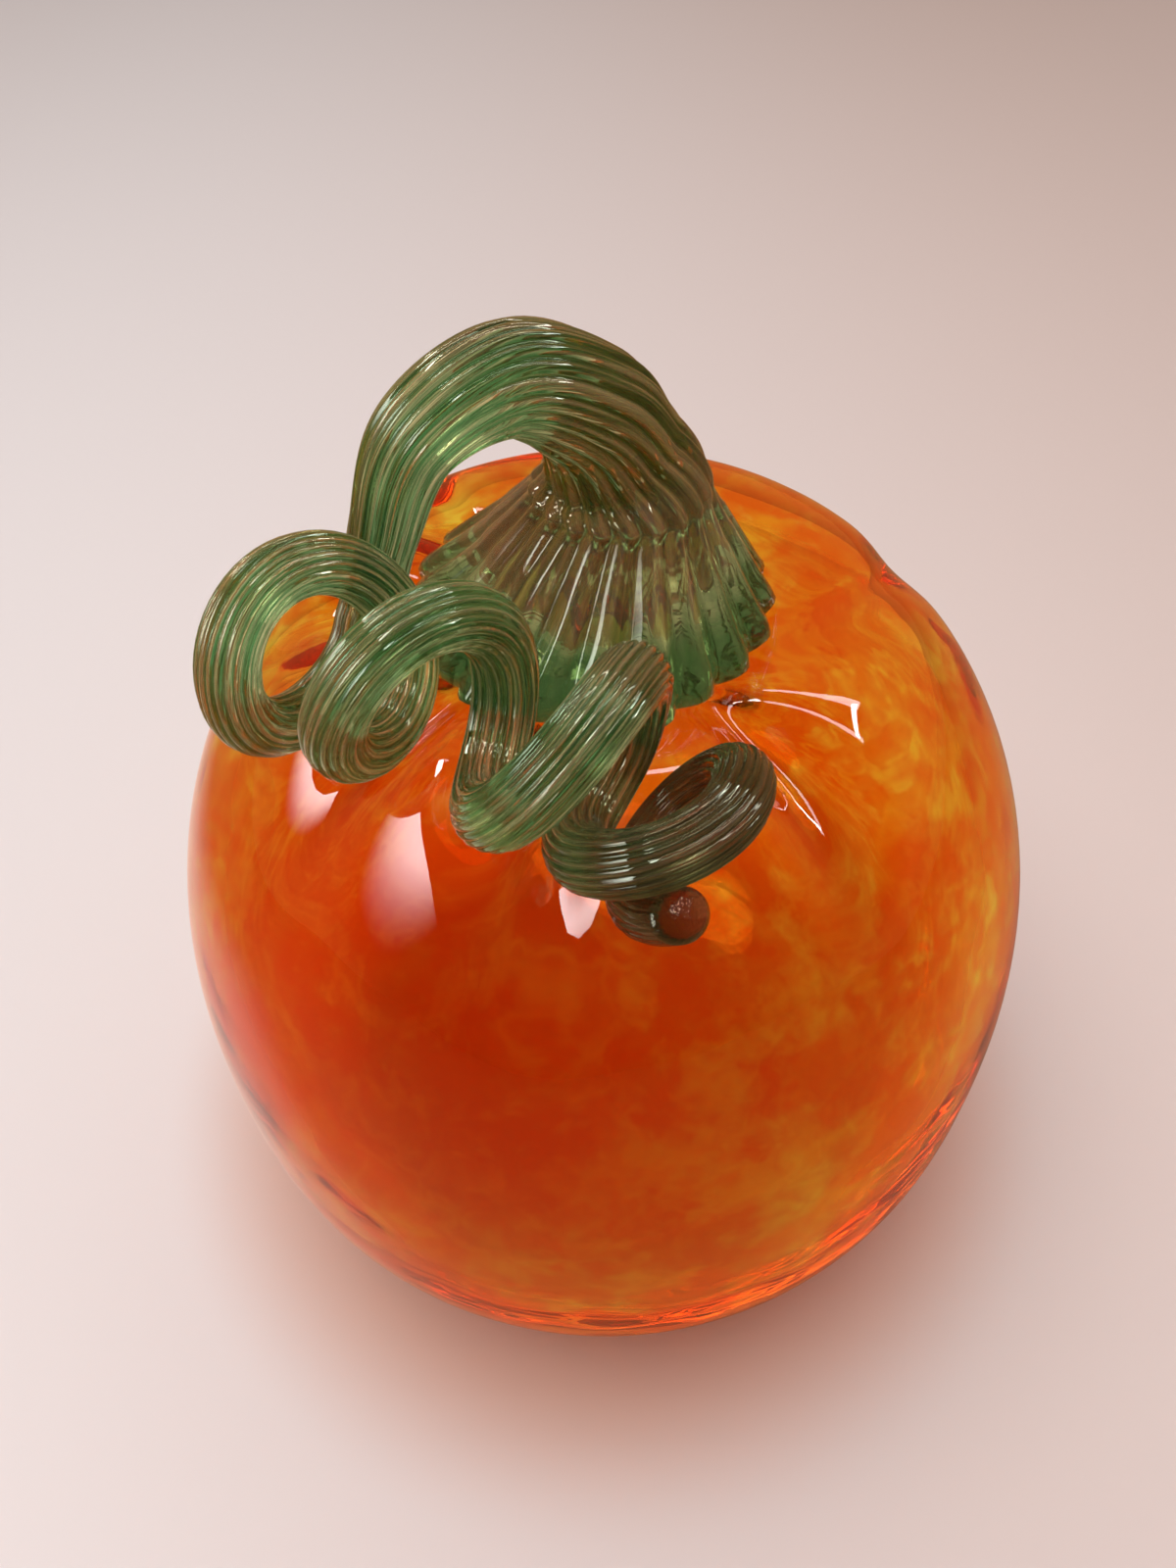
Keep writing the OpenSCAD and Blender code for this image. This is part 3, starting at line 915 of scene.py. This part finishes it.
def pale_table():
    """Pale table, whiter on the left and warmer on the right as painted warm light, with a painted warm
    glow and shade round the foot, and other colours in the glass.
    """
    mat = bpy.data.materials.new("pale_table")
    mat.use_nodes = True
    tree = mat.node_tree
    shader = tree.nodes["Principled BSDF"]
    shader.inputs["Roughness"].default_value = TABLE_ROUGHNESS
    place = tree.nodes.new("ShaderNodeTexCoord")
    split = tree.nodes.new("ShaderNodeSeparateXYZ")
    tree.links.new(place.outputs["Object"], split.inputs["Vector"])
    # Painted warm light, growing towards the right of the table
    side = ramp(tree, split.outputs["X"], -TABLE_BLEND, TABLE_BLEND)
    away = tree.nodes.new("ShaderNodeVectorMath")
    away.operation = "LENGTH"
    tree.links.new(place.outputs["Object"], away.inputs[0])
    # Painted glow and shade: the table turns warmer and darker round the foot
    painted_glow_fade = ramp(tree, away.outputs["Value"], PAINTED_GLOW_TO, PAINTED_GLOW_FROM)
    plain = blend_colors(tree, side, TABLE_COOL, TABLE_WARM_LIGHT)
    path = tree.nodes.new("ShaderNodeLightPath")
    with_painted_glow = blend_colors(tree, painted_glow_fade, PAINTED_FOOT_GLOW, plain)
    shine = math_node(tree, "MULTIPLY", path.outputs["Is Glossy Ray"], path.outputs["Is Reflection Ray"])
    far = ramp(tree, away.outputs["Value"], SHINE_FROM, SHINE_TO)
    front = ramp(tree, split.outputs["Y"], FRONT_TO, FRONT_FROM)
    across = ramp(tree, split.outputs["X"], -BODY_R, BODY_R)
    beside = blend_colors(tree, across, SHINE_NEAR, SHINE_RIGHT)
    near = blend_colors(tree, front, SHINE_FRONT, beside)
    seen = blend_colors(tree, shine, with_painted_glow, blend_colors(tree, far, near, SHINE_FAR))
    tree.links.new(seen, shader.inputs["Base Color"])
    lift = tree.nodes.new("ShaderNodeEmission")
    tree.links.new(plain, lift.inputs["Color"])
    both = tree.nodes.new("ShaderNodeMixShader")
    through = math_node(tree, "MULTIPLY", path.outputs["Is Transmission Ray"], SEEN_THROUGH)
    tree.links.new(through, both.inputs["Fac"])
    tree.links.new(shader.outputs["BSDF"], both.inputs[1])
    tree.links.new(lift.outputs["Emission"], both.inputs[2])
    tree.links.new(both.outputs["Shader"], tree.nodes["Material Output"].inputs["Surface"])
    return mat


def dress(obj, mat, slot, *nodes):
    obj.data.materials.clear()
    obj.data.materials.append(mat)
    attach(obj, ROOT)
    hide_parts(*nodes)


# Studio

def studio_sweep():
    """Pale table, wide enough to fill the photograph."""
    bpy.ops.object.select_all(action="DESELECT")
    bpy.ops.mesh.primitive_plane_add(size=TABLE_SIZE, location=(0, 0, -TABLE_DROP))
    sweep = named("studio_sweep")
    sweep.data.materials.append(pale_table())


def soft_lamp(name, place, size, power):
    data = bpy.data.lights.new(name, "AREA")
    data.shape = "DISK"
    data.size = size
    data.energy = power
    data.color = LAMP_COLOR
    lamp = bpy.data.objects.new(name, data)
    lamp.location = place
    lamp.rotation_euler = (CAMERA_TARGET - Vector(place)).to_track_quat("-Z", "Y").to_euler()
    bpy.context.scene.collection.objects.link(lamp)
    return lamp


def shine_panel(name, start, end, width, power):
    """A long panel that only shows as a highlight on the glass."""
    data = bpy.data.lights.new(name, "AREA")
    data.shape = "RECTANGLE"
    data.size = (end - start).length
    data.size_y = width
    data.energy = power
    data.color = LAMP_COLOR
    lamp = bpy.data.objects.new(name, data)
    middle = (start + end) / 2
    back = (middle - CAMERA_TARGET).normalized()
    along = (end - start).normalized()
    up = back.cross(along).normalized()
    lamp.matrix_world = Matrix((up.cross(back), up, back)).transposed().to_4x4()
    lamp.location = middle
    lamp.visible_diffuse = False
    lamp.visible_transmission = False
    bpy.context.scene.collection.objects.link(lamp)
    return lamp


def fade_panel(lamp):
    """Lets a panel fade out over its width and at its front end."""
    lamp.data.use_nodes = True
    tree = lamp.data.node_tree
    place = tree.nodes.new("ShaderNodeNewGeometry")
    split = tree.nodes.new("ShaderNodeSeparateXYZ")
    tree.links.new(place.outputs["Parametric"], split.inputs["Vector"])
    over = ramp(tree, split.outputs["Y"], 0, 1, 1, 0)
    end = ramp(tree, split.outputs["X"], 0, LEFT_FADE)
    tree.links.new(math_node(tree, "MULTIPLY", over, end), tree.nodes["Emission"].inputs["Strength"])


def studio_light():
    """A light tent, dark where it is open, but pale all round to the eye and through the glass."""
    world = bpy.data.worlds.new("studio")
    bpy.context.scene.world = world
    world.use_nodes = True
    tree = world.node_tree
    sky = tree.nodes["Background"]
    place = tree.nodes.new("ShaderNodeTexCoord")
    facing = tree.nodes.new("ShaderNodeVectorMath")
    facing.operation = "DOT_PRODUCT"
    facing.inputs[1].default_value = TENT_OPENING
    tree.links.new(place.outputs["Generated"], facing.inputs[0])
    opening = ramp(tree, facing.outputs["Value"], OPENING_EDGE, OPENING_MIDDLE)
    path = tree.nodes.new("ShaderNodeLightPath")
    mirrored = ramp(tree, facing.outputs["Value"], SHINE_EDGE, SHINE_MIDDLE)
    shine = math_node(tree, "MULTIPLY", path.outputs["Is Glossy Ray"], path.outputs["Is Reflection Ray"])
    seen = math_node(tree, "MAXIMUM", path.outputs["Is Camera Ray"], path.outputs["Is Transmission Ray"])
    unseen = math_node(tree, "SUBTRACT", 1, seen)
    walls = blend_colors(tree, math_node(tree, "MULTIPLY", opening, unseen), TENT_WALL, TENT_DARK)
    mirror = blend_colors(tree, mirrored, TENT_SHINE, MIRROR_DARK)
    tree.links.new(blend_colors(tree, shine, walls, mirror), sky.inputs["Color"])
    sky.inputs["Strength"].default_value = 1.0
    top = soft_lamp("top_panel", TOP_PLACE, TOP_SIZE, TOP_POWER)
    top.visible_glossy = False
    ends = STRIP_CORNERS[1:] + STRIP_CORNERS[:1]
    for i, (start, end) in enumerate(zip(STRIP_CORNERS, ends)):
        shine_panel(f"light_strip_{i}", start, end, STRIP_W, STRIP_POWER)
    panel = shine_panel("left_panel", LEFT_START, LEFT_END, LEFT_W, LEFT_POWER)
    fade_panel(panel)


def photo_camera():
    data = bpy.data.cameras.new("photo_camera")
    data.sensor_width = SENSOR_MM
    data.lens = SENSOR_MM * FOCAL_PX / PHOTO_H
    data.clip_start = CLIP_START
    camera = bpy.data.objects.new("photo_camera", data)
    bpy.context.scene.collection.objects.link(camera)
    back = Vector((0, -math.cos(CAMERA_ELEVATION), math.sin(CAMERA_ELEVATION)))
    pan = math.atan((TARGET_PX[0] - PHOTO_W / 2) / FOCAL_PX)
    tilt = math.atan((TARGET_PX[1] - PHOTO_H / 2) / FOCAL_PX)
    look = (-back).to_track_quat("-Z", "Y").to_matrix()
    roll = Matrix.Rotation(CAMERA_ROLL, 3, "Z")
    turn = Matrix.Rotation(pan, 3, "Y") @ Matrix.Rotation(tilt, 3, "X") @ roll
    place = Matrix.Translation(CAMERA_TARGET + CAMERA_DISTANCE * back)
    camera.matrix_world = place @ (look @ turn).to_4x4()
    bpy.context.scene.camera = camera


photo_camera()
studio_sweep()
studio_light()
veils = colour_veils()
polish = hand_polish()
dress(blown_body(), orange_glass(veils, polish), "orange_glass", "body_shell")
dress(green_stem(), green_glass(veils, polish), "green_glass", "stem_crown", "stem_arch", "stem_vine")
bpy.context.scene.view_settings.view_transform = "Standard"
bpy.context.scene.cycles.max_bounces = BOUNCES
bpy.context.scene.cycles.glossy_bounces = GLASS_BOUNCES
bpy.context.scene.cycles.transmission_bounces = GLASS_BOUNCES
